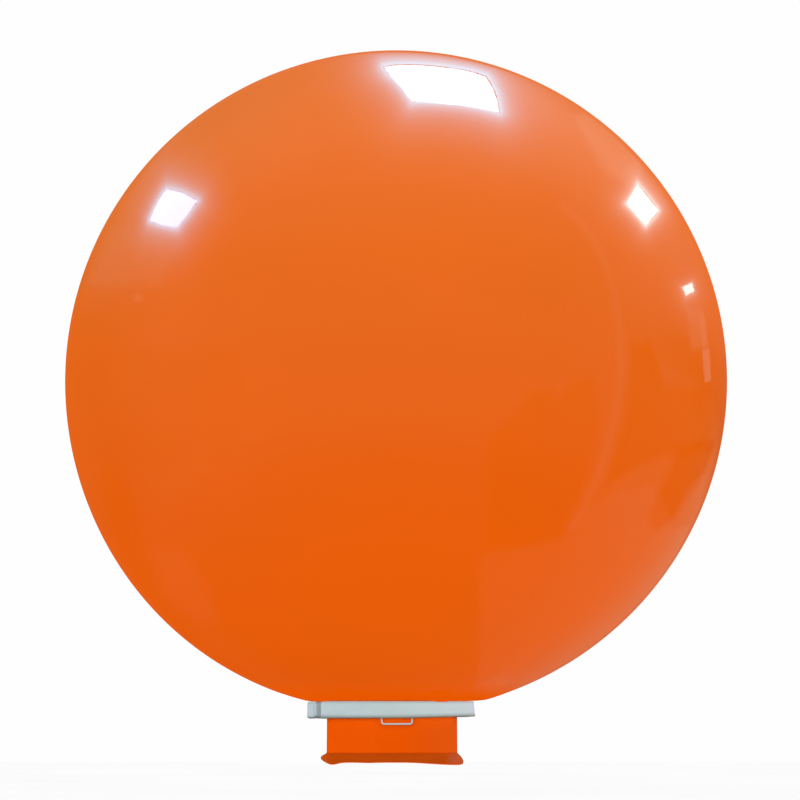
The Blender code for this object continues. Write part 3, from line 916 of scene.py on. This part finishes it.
class Nodes:
    """Short calls for building the nodes of a material or of the world."""

    def __init__(self, owner, space="Object", clear=False):
        self.owner = owner
        owner.use_nodes = True
        self.tree = owner.node_tree
        if clear:
            self.tree.nodes.clear()
        self.shader = self.tree.nodes.get("Principled BSDF")
        self.texture = self.add("ShaderNodeTexCoord").outputs
        self.place = self.texture[space]

    def add(self, kind, inputs=None, **settings):
        made = self.tree.nodes.new(kind)
        for name, value in settings.items():
            setattr(made, name, value)
        self.fill(made, inputs or {})
        return made

    def fill(self, node, inputs):
        """Links each input, by name or number, to an output, or sets it to a number, colour or vector."""
        for name, source in inputs.items():
            socket = node.inputs[name]
            if isinstance(source, (int, float)):
                socket.default_value = source
            elif isinstance(source, tuple):
                socket.default_value = source + (1,) * (len(socket.default_value) - len(source))
            else:
                self.tree.links.new(source, socket)

    def noise(self, scale, detail=4.0, roughness=0.5, stretch=(1, 1, 1)):
        mapping = self.add("ShaderNodeMapping", {"Vector": self.place, "Scale": stretch})
        return self.add("ShaderNodeTexNoise", {
            "Vector": mapping.outputs["Vector"], "Scale": scale, "Detail": detail, "Roughness": roughness,
        }).outputs["Fac"]

    def patchy(self, low, high, *noise):
        """A noise that wanders from low to high."""
        return self.spread(self.noise(*noise), 0.3, 0.7, low, high)

    def ramp(self, value, stops):
        """Colours, or greys given by one number, at places along the value."""
        made = self.add("ShaderNodeValToRGB", {"Fac": value})
        elements = made.color_ramp.elements
        while len(elements) < len(stops):
            elements.new(0.5)
        for element, (place, colour) in zip(elements, stops):
            element.position = place
            element.color = (*colour, 1) if isinstance(colour, tuple) else (colour, colour, colour, 1)
        return made.outputs["Color"]

    def spread(self, value, low, high, to_low=0, to_high=1, clamp=True):
        """The value, taken from low to high, as to_low to to_high."""
        return self.add("ShaderNodeMapRange", {
            "Value": value, "From Min": low, "From Max": high, "To Min": to_low, "To Max": to_high,
        }, clamp=clamp).outputs["Result"]

    def blend(self, kind, a, b, share=1.0):
        """Two colours mixed, as Mix Color does."""
        inputs = {0: share, 6: a, 7: b}
        return self.add("ShaderNodeMix", inputs, data_type="RGBA", blend_type=kind).outputs[2]

    def calculate(self, operation, *values):
        return self.add("ShaderNodeMath", dict(enumerate(values)), operation=operation).outputs["Value"]

    def measure(self, operation, vector):
        """The distance or the dot product of the place and a vector."""
        inputs = {0: self.place, 1: tuple(vector)}
        return self.add("ShaderNodeVectorMath", inputs, operation=operation).outputs["Value"]

    def toward(self, direction):
        """1 where the envelope's skin lies in this direction from its centre, and less away from there."""
        return self.measure("DOT_PRODUCT", (value / ENVELOPE_RADIUS for value in direction))

    def axis(self, name, vector=None):
        return self.add("ShaderNodeSeparateXYZ", {"Vector": vector or self.place}).outputs[name]

    def attribute(self, name):
        return self.add("ShaderNodeAttribute", attribute_name=name).outputs["Fac"]

    def bump(self, *layers):
        """Bumps laid one on another: (height, strength, distance in metres)."""
        inputs = {}
        for height, strength, distance in layers:
            inputs.update({"Height": height, "Strength": strength, "Distance": distance})
            inputs["Normal"] = self.add("ShaderNodeBump", inputs).outputs["Normal"]
        return inputs["Normal"]


def taut_latex():
    """Stretched latex, deeper in colour low down and paler high up, both painted light, with a painted
    shadow beside the throat's slot: a clear gloss that is dull around the throat and grows weaker where the
    skin turns away."""
    n = Nodes(bpy.data.materials.new("taut_latex"))
    height = n.axis("Z")
    # The colour by height is painted light: redder low down to make up for the dimmer light on the lower
    # skin, and paler high up as a painted sheen
    tone = n.ramp(n.spread(height, -0.9, 0.9), (
        (0.000, (0.815, 0.0990, 0.0002)),
        (0.075, (0.790, 0.1030, 0.0003)),
        (0.250, (0.765, 0.1050, 0.0004)),
        (0.500, (0.760, 0.1220, 0.0006)),
        (0.725, (0.768, 0.1380, 0.0010)),
        (0.800, (0.757, 0.1400, 0.0015)),
        (1.000, (0.740, 0.1410, 0.0020)),
    ))
    tone = n.blend("MULTIPLY", tone, n.patchy(0.985, 1.01, 2.2, 5, 0.55))
    speck = n.spread(n.noise(260, 2, 0.5), 0.72, 0.80, 0, 0.06)
    tone = n.blend("MIX", tone, (0.84, 0.22, 0.04), speck)
    tone = n.blend("MULTIPLY", tone, DARKER_PATCH_TONE, n.spread(n.toward(DARKER_PATCH_PLACE), *DARKER_PATCH_NEAR))
    # Painted shadow on the skin close beside the throat's slot, just over the bar
    off_middle = n.calculate("ABSOLUTE", n.axis("Y"))
    painted_slot_shadow = n.spread(off_middle, *SLOT_SHADE_Y, 0.70, 1)
    above_slot_shadow = n.spread(height, *SLOT_SHADE_Z)
    tone = n.blend("MULTIPLY", tone, n.calculate("MAXIMUM", painted_slot_shadow, above_slot_shadow))
    facing = n.add("ShaderNodeLayerWeight", {"Blend": 0.5}).outputs["Facing"]
    near_side = n.spread(n.toward(SIDE_PLACE), *SIDE_NEAR)
    gloss = n.blend("MIX", n.ramp(facing, COAT_BY_FACING), n.ramp(facing, SIDE_COAT), near_side)
    n.fill(n.shader, {
        "Base Color": tone,
        "Roughness": n.patchy(0.45, 0.60, 5, 4, 0.6),
        "Specular IOR Level": 0.0,
        "Coat Weight": n.blend("MULTIPLY", gloss, n.spread(height, *DULL_Z)),
        "Coat Roughness": 0.035,
        "Coat IOR": 1.50,
    })
    return n.owner


def neck_latex():
    """Latex that isn't stretched much: dull, redder along its folded sides, and paler to the right with a
    painted sheen.
    """
    n = Nodes(bpy.data.materials.new("neck_latex"))
    # Paler to the right: a painted sheen
    tone = n.ramp(n.spread(n.axis("X"), NECK_LOW.x, NECK_HIGH.x), (
        (0.00, (0.785, 0.0850, 0.0001)),
        (0.60, (0.735, 0.0810, 0.0003)),
        (1.00, (0.690, 0.0830, 0.0038)),
    ))
    tone = n.blend("MULTIPLY", tone, n.patchy(0.97, 1.02, 9, 5, 0.6))
    tone = n.blend("MIX", tone, (0.690, 0.0520, 0.0001), n.attribute("rim"))
    n.fill(n.shader, {
        "Base Color": tone,
        "Roughness": n.patchy(0.50, 0.62, 30, 4, 0.6),
        "Specular IOR Level": 0.01,
        "Normal": n.bump((n.noise(90, 4, 0.6), 0.12, 0.0004)),
    })
    return n.owner


def lip_material():
    """Thick latex that isn't stretched: satin, and darker, partly as thicker latex and partly as painted
    shade; brighter along its thin rim, with a painted highlight on the folds of its ears, painted shade
    between them and along the outline of its ears, and a painted sheen in a patch near the free end's ear."""
    n = Nodes(bpy.data.materials.new("thick_latex"))
    # The body's tone is dark partly as thicker latex and partly as painted shade
    body = n.ramp(n.noise(14, 5, 0.6, (1, 1, 5)), (
        (0.30, (0.405, 0.0490, 0.0005)),
        (0.55, (0.457, 0.0570, 0.0008)),
        (0.75, (0.482, 0.0640, 0.0018)),
    ))
    upper = n.spread(n.axis("Z"), NECK_BOTTOM_Z - 0.0055, NECK_BOTTOM_Z - 0.0015, 0, 0.8)
    tone = n.blend("MIX", body, (0.490, 0.0490, 0.0002), upper)
    # A painted sheen in a patch near the free end's ear
    painted_sheen = n.spread(n.measure("DISTANCE", SHEEN_PATCH_PLACE), 0.006, 0.028, 0.80, 0)
    painted_sheen = n.calculate("MULTIPLY", painted_sheen, n.patchy(0.5, 1, 120, 3, 0.6))
    tone = n.blend("MIX", tone, (0.430, 0.0930, 0.0400), painted_sheen)
    rim = n.attribute("rim")
    # Above 0, rim brightens the rim and lays a painted highlight on the ears' folds; below 0, painted shade
    tone = n.blend("MIX", tone, (0.720, 0.1050, 0.0080), n.spread(rim, 0, 1))
    tone = n.blend("MIX", tone, (0.260, 0.0220, 0.0012), n.spread(rim, 0, -1))
    n.fill(n.shader, {
        "Base Color": tone,
        "Roughness": n.patchy(0.42, 0.56, 40, 4, 0.6),
        "Specular IOR Level": 0.02,
        "Normal": n.bump(
            (n.noise(120, 4, 0.6), 0.25, 0.0005), (n.noise(36, 3, 0.5, (0.25, 1, 3)), 0.25, 0.0010),
        ),
    })
    return n.owner


def shaded_edges(n, tone, upper_share, lower_share):
    """The tone, with painted shade along the bars' upper and lower edges."""
    runs = []
    for start, end in ((BAR_START_X, BAR_KNEE_X), (BAR_KNEE_X, BAR_END_BOTTOM_X)):
        runs.append(n.spread(n.axis("X"), start, end, bar_bottom_z(start), bar_bottom_z(end), False))
    above = n.calculate("SUBTRACT", n.axis("Z"), n.calculate("MAXIMUM", *runs))
    lower = n.ramp(n.spread(above, 0, EDGE_SHADE_REACH), LOWER_EDGE_SHADE)
    upper = n.ramp(n.spread(n.axis("Z"), BAR_TOP_Z, BAR_TOP_Z - EDGE_SHADE_REACH), UPPER_EDGE_SHADE)
    tone = n.blend("MULTIPLY", tone, lower, lower_share)
    return n.blend("MULTIPLY", tone, upper, upper_share)


def clip_material(name, shade, underside, edges=False):
    """Moulded plastic, satin, with a fine grain, faint flow marks along the bar and a few scuffs. Its colour
    drifts along the bar as a painted reflection. Painted shade darkens it all by shade, in the groove beside
    the hinge, by underside where it faces down, and with edges also along the edges."""
    n = Nodes(bpy.data.materials.new(name))
    # The colour's drift along the bar is a painted reflection
    along = n.ramp(n.spread(n.axis("X"), -0.23, 0.21), (
        (0.00, (0.500, 0.605, 0.650)),
        (0.45, (0.500, 0.615, 0.610)),
        (0.80, (0.545, 0.635, 0.640)),
        (1.00, (0.590, 0.650, 0.690)),
    ))
    tone = n.blend("MULTIPLY", along, n.patchy(0.95, 1.05, 26, 5, 0.6, (0.35, 1, 1.6)))
    # Painted shade over the whole piece, by shade
    tone = n.blend("MULTIPLY", tone, (shade, shade, shade))
    # Painted shade in the groove beside the hinge, where occlusion darkens it
    tone = n.blend("MULTIPLY", tone, n.ramp(n.spread(n.axis("X"), *GROOVE_X), GROOVE_SHADE))
    # Painted shade where a face turns down, as dark as underside
    normal = n.texture["Normal"]
    tone = n.blend("MULTIPLY", tone, n.spread(n.axis("Z", normal), -0.85, -0.10, underside, 1))
    # Painted shade along the bars' edges, on faces that look to the front or back, and the lower one kept
    # off the barrel
    if edges:
        upright = n.spread(n.calculate("ABSOLUTE", n.axis("Y", normal)), 0.3, 0.8)
        past_barrel = n.spread(n.axis("X"), *PAST_BARREL_X)
        tone = shaded_edges(n, tone, upright, n.calculate("MULTIPLY", upright, past_barrel))
    scuff = n.spread(n.noise(90, 6, 0.75, (0.5, 1, 2.5)), 0.62, 0.72, 0, 0.25)
    n.fill(n.shader, {
        "Base Color": n.blend("MIX", tone, (0.66, 0.72, 0.73), scuff),
        "Roughness": n.patchy(0.34, 0.50, 60, 5, 0.6),
        "Normal": n.bump((n.noise(1400, 2, 0.5), 0.10, 0.0002), (n.noise(70, 3, 0.5), 0.12, 0.0006)),
    })
    return n.owner


# Studio


def pixel_direction(u, v):
    local = Vector(((u - IMAGE_SIDE / 2) / FOCAL_PX, (IMAGE_SIDE / 2 - v) / FOCAL_PX, -1))
    local.rotate(CAMERA_TURN)
    return local.normalized()


def mirrored(u, v, distance):
    """Where the line of sight through a pixel goes, mirrored by the round envelope, at a distance from its
    centre. A pixel off the envelope is drawn in to its rim."""
    away = math.hypot(u - DISC_MIDDLE[0], v - DISC_MIDDLE[1])
    drawn_in = away
    if away > DISC_FREE:
        room = DISC_REACH - DISC_FREE
        drawn_in = DISC_REACH - room * math.exp((DISC_FREE - away) / room)
    kept = drawn_in / away
    sight = pixel_direction(mix(DISC_MIDDLE[0], u, kept), mix(DISC_MIDDLE[1], v, kept))
    along = -CAMERA_PLACE.dot(sight)
    off = CAMERA_PLACE.length_squared - along ** 2
    hit = CAMERA_PLACE + sight * (along - math.sqrt(ENVELOPE_RADIUS ** 2 - off))
    out = sight.reflect(hit.normalized())
    ahead = -hit.dot(out)
    reach = ahead + math.sqrt(distance ** 2 - hit.length_squared + ahead ** 2)
    return hit + out * reach


def glow(name, colour, through):
    """Adds the light that "rim" gives, and filters the light behind it by "through"."""
    n = Nodes(bpy.data.materials.new(name), clear=True)
    light = n.add("ShaderNodeEmission", {"Color": colour, "Strength": n.attribute("rim")})
    clear = n.add("ShaderNodeBsdfTransparent", {"Color": n.attribute("through")} if through else {})
    both = n.add("ShaderNodeAddShader", {0: light.outputs["Emission"], 1: clear.outputs["BSDF"]})
    n.add("ShaderNodeOutputMaterial", {"Surface": both.outputs["Shader"]})
    return n.owner


def add_panel(name, rings, values, colour, closed=True, distance=PANEL_DISTANCE):
    """Part of the studio that shows only in the gloss, through rings of pixels; values holds, for each ring,
    the light that it adds and the share that it lets through."""
    bm = bmesh.new()
    light = bm.verts.layers.float.new("rim")
    kept = bm.verts.layers.float.new("through")
    made = []
    for ring, (radiance, through) in zip(rings, values):
        made.append([bm.verts.new(mirrored(u, v, distance)) for u, v in ring])
        for vertex in made[-1]:
            vertex[light] = radiance
            vertex[kept] = through
    for inner, outer in zip(made, made[1:]):
        bridge(bm, inner, outer, closed)
    mesh = bpy.data.meshes.new(name)
    bm.to_mesh(mesh)
    bm.free()
    panel = add_object(name, mesh, glow(name, colour, any(through < 1 for _, through in values)))
    panel.visible_camera = False
    panel.visible_diffuse = False
    panel.visible_shadow = False


def middle_of(pixels):
    return tuple(sum(values) / len(pixels) for values in zip(*pixels))


def grown(pixels, reach):
    """The outline moved away from its middle."""
    u0, v0 = middle_of(pixels)
    ring = []
    for u, v in pixels:
        away = math.hypot(u - u0, v - v0)
        ring.append((u + (u - u0) * reach / away, v + (v - v0) * reach / away))
    return ring


def halved(pixels, times):
    """The outline with more corners along its straight sides."""
    for _ in range(times):
        more = []
        for (u, v), (next_u, next_v) in zip(pixels, (*pixels[1:], pixels[0])):
            more += [(u, v), ((u + next_u) / 2, (v + next_v) / 2)]
        pixels = more
    return pixels


def add_area(name, radiance, through, soft, pixels):
    """A faint shape of the room with a soft edge."""
    outline = halved(pixels, 2)
    u0, v0 = middle_of(outline)
    inside = grown(outline, -soft / 2)
    rings = [[(u0, v0)]]
    for k in range(1, AREA_RINGS + 1):
        rings.append([(mix(u0, u, k / AREA_RINGS), mix(v0, v, k / AREA_RINGS)) for u, v in inside])
    values = [(radiance, through)] * len(rings)
    rings.append(grown(outline, soft / 2))
    add_panel(name, rings, values + [(0, 1)], AREA_COLOUR)


def add_wall_edge():
    """A thin arc of light, soft on both sides."""
    rows = ([], [], [])
    for i, (u, v) in enumerate(WALL_EDGE):
        u0, v0 = WALL_EDGE[max(i - 1, 0)]
        u1, v1 = WALL_EDGE[min(i + 1, len(WALL_EDGE) - 1)]
        along = math.hypot(u1 - u0, v1 - v0)
        for row, side in zip(rows, (-WALL_EDGE_HALF_WIDTH, 0, WALL_EDGE_HALF_WIDTH)):
            row.append((u + side * (v1 - v0) / along, v - side * (u1 - u0) / along))
    values = ((0, 1), (WALL_EDGE_LIGHT, 1), (0, 1))
    add_panel("wall_edge", rows, values, AREA_COLOUR, False, WALL_EDGE_DISTANCE)


def halo_ring(pixels, reach, spread):
    """Around a lamp's outline at a distance, with rounded corners; spread holds the factors of the distance
    towards the left, right, top and bottom."""
    left, right, up, down = spread
    ring = []
    for k in range(HALO_SIDES):
        a = 2 * math.pi * (k + HALO_TURN) / HALO_SIDES
        across, along = math.cos(a), math.sin(a)
        u, v = max(pixels, key=lambda pixel: pixel[0] * across + pixel[1] * along)
        out_u = reach * across * (right if across > 0 else left)
        out_v = reach * along * (down if along > 0 else up)
        ring.append((u + out_u, v + out_v))
    return ring


def halo_radiance(reach):
    return sum(light * math.exp(-reach / fade) for light, fade in HALO_PARTS) - HALO_LESS


def add_lamp(name, light, strength, colour, spread, pixels):
    """A lamp, and the soft light around it."""
    outline = halved(pixels, 2)
    add_panel("lamp_" + name, [[middle_of(outline)], outline], ((1, 1), (1, 1)), light)
    rings = [halo_ring(pixels, reach + HALO_GAP, spread) for reach in HALO_RINGS]
    values = [(max(0.0, halo_radiance(reach)) * strength, 1) for reach in HALO_RINGS]
    values[-1] = (0, 1)
    add_panel("halo_" + name, rings, values, colour, True, HALO_DISTANCE)


def add_camera():
    lens = bpy.data.cameras.new("camera")
    lens.sensor_width = SENSOR_MM
    lens.lens = FOCAL_PX * SENSOR_MM / IMAGE_SIDE
    lens.clip_end = 200
    camera = add_object("camera", lens)
    camera.location = CAMERA_PLACE
    camera.rotation_euler = CAMERA_TURN
    bpy.context.scene.camera = camera


def add_floor():
    bm = bmesh.new()
    half = FLOOR_SIZE / 2
    corners = ((-half, -half), (half, -half), (half, half), (-half, half))
    bm.faces.new([bm.verts.new((x, y, FLOOR_LEVEL)) for x, y in corners])
    n = Nodes(bpy.data.materials.new("floor"))
    tone = n.ramp(n.noise(0.6, 3, 0.5), ((0.3, 0.90), (0.7, 0.93)))
    n.fill(n.shader, {"Base Color": tone, "Roughness": 0.9, "Specular IOR Level": 0.0})
    floor = mesh_object("floor", bm, n.owner)
    floor.visible_glossy = False
    floor.visible_diffuse = False


def add_world():
    """White behind the object, even light on it, and a dim room in its gloss: darker towards the floor."""
    world = bpy.data.worlds.new("studio")
    bpy.context.scene.world = world
    n = Nodes(world, "Generated", clear=True)
    height = n.spread(n.axis("Z"), -1, 1)
    ray = n.add("ShaderNodeLightPath").outputs

    def by_height(levels, red=1.0, low_green=1.0):
        stops = []
        for level, value in levels:
            green = low_green if level < LOW_ROOM else 1.0
            stops.append(((level + 1) / 2, (value * red, value * green, value)))
        return n.ramp(height, stops)

    def background(colour, strength):
        return n.add("ShaderNodeBackground", {"Color": colour, "Strength": strength}).outputs["Background"]

    def choose(amount, otherwise, chosen):
        return n.add("ShaderNodeMixShader", {0: amount, 1: otherwise, 2: chosen}).outputs["Shader"]

    left = by_height(BACK_LEFT_ROOM, LEFT_RED)
    right = by_height(BACK_RIGHT_ROOM, RIGHT_RED, FLOOR_GREEN)
    back = n.blend("MIX", left, right, n.spread(n.axis("X"), *SIDE_TO_SIDE))
    front = by_height(FRONT_ROOM, FRONT_RED)
    room = n.blend("MIX", front, back, n.spread(n.axis("Y"), *FRONT_TO_BACK))
    fill = background(by_height(FILL_BY_HEIGHT), FILL_STRENGTH)
    lit = choose(ray["Is Glossy Ray"], fill, background(room, 1.0))
    seen = choose(ray["Is Camera Ray"], lit, background((1, 1, 1), BACKDROP_WHITE))
    n.add("ShaderNodeOutputWorld", {"Surface": seen})
    world.cycles.sampling_method = "NONE"


def add_light(name, kind, energy, turn, pieces):
    """A light for these pieces alone, which throws no shadow and doesn't show in the gloss."""
    light = bpy.data.lights.new(name, kind)
    light.energy = energy
    light.use_shadow = False
    lamp = add_object(name, light)
    lamp.rotation_euler = (turn, 0, 0)
    lamp.visible_glossy = False
    lit = bpy.data.collections.new(name + "_pieces")
    for piece in pieces:
        lit.objects.link(piece)
    lamp.light_linking.receiver_collection = lit
    return lamp


def add_under_light(pieces):
    """Light off the floor for the latex alone, which lets light through and so has no dark underside."""
    lamp = add_light("under_light", "SUN", UNDER_LIGHT, math.pi, pieces)
    lamp.data.angle = UNDER_LIGHT_ANGLE


def add_bar_light(neck):
    """Makes up for the light that the bar keeps off the neck, which in truth comes through the latex."""
    lamp = add_light("bar_light", "AREA", BAR_LIGHT, math.pi / 2, [neck])
    lamp.data.shape = "RECTANGLE"
    lamp.data.size, lamp.data.size_y = BAR_LIGHT_SIZE
    lamp.location = BAR_LIGHT_PLACE
    lamp.visible_camera = False


def make_object():
    skin = make_envelope(taut_latex())
    skin.visible_diffuse = False
    neck = make_neck(neck_latex())
    lip = make_lip(lip_material())
    add_under_light([skin, neck, lip])
    add_bar_light(neck)
    # One plastic in three copies, lighter or darker as painted shade by shade and underside
    plastic = clip_material("clip_plastic", shade=0.97, underside=0.40, edges=True)
    make_rear_bar(plastic)
    make_pin(clip_material("pin_plastic", shade=0.90, underside=0.40))
    make_front_bar(plastic)
    make_pull_loop(clip_material("loop_plastic", shade=0.98, underside=0.80))


def make_studio():
    add_camera()
    add_floor()
    add_world()
    for lamp in LAMPS:
        add_lamp(*lamp)
    for area in ROOM_AREAS:
        add_area(*area)
    add_wall_edge()
    bpy.context.scene.view_settings.view_transform = "Standard"


make_studio()
make_object()
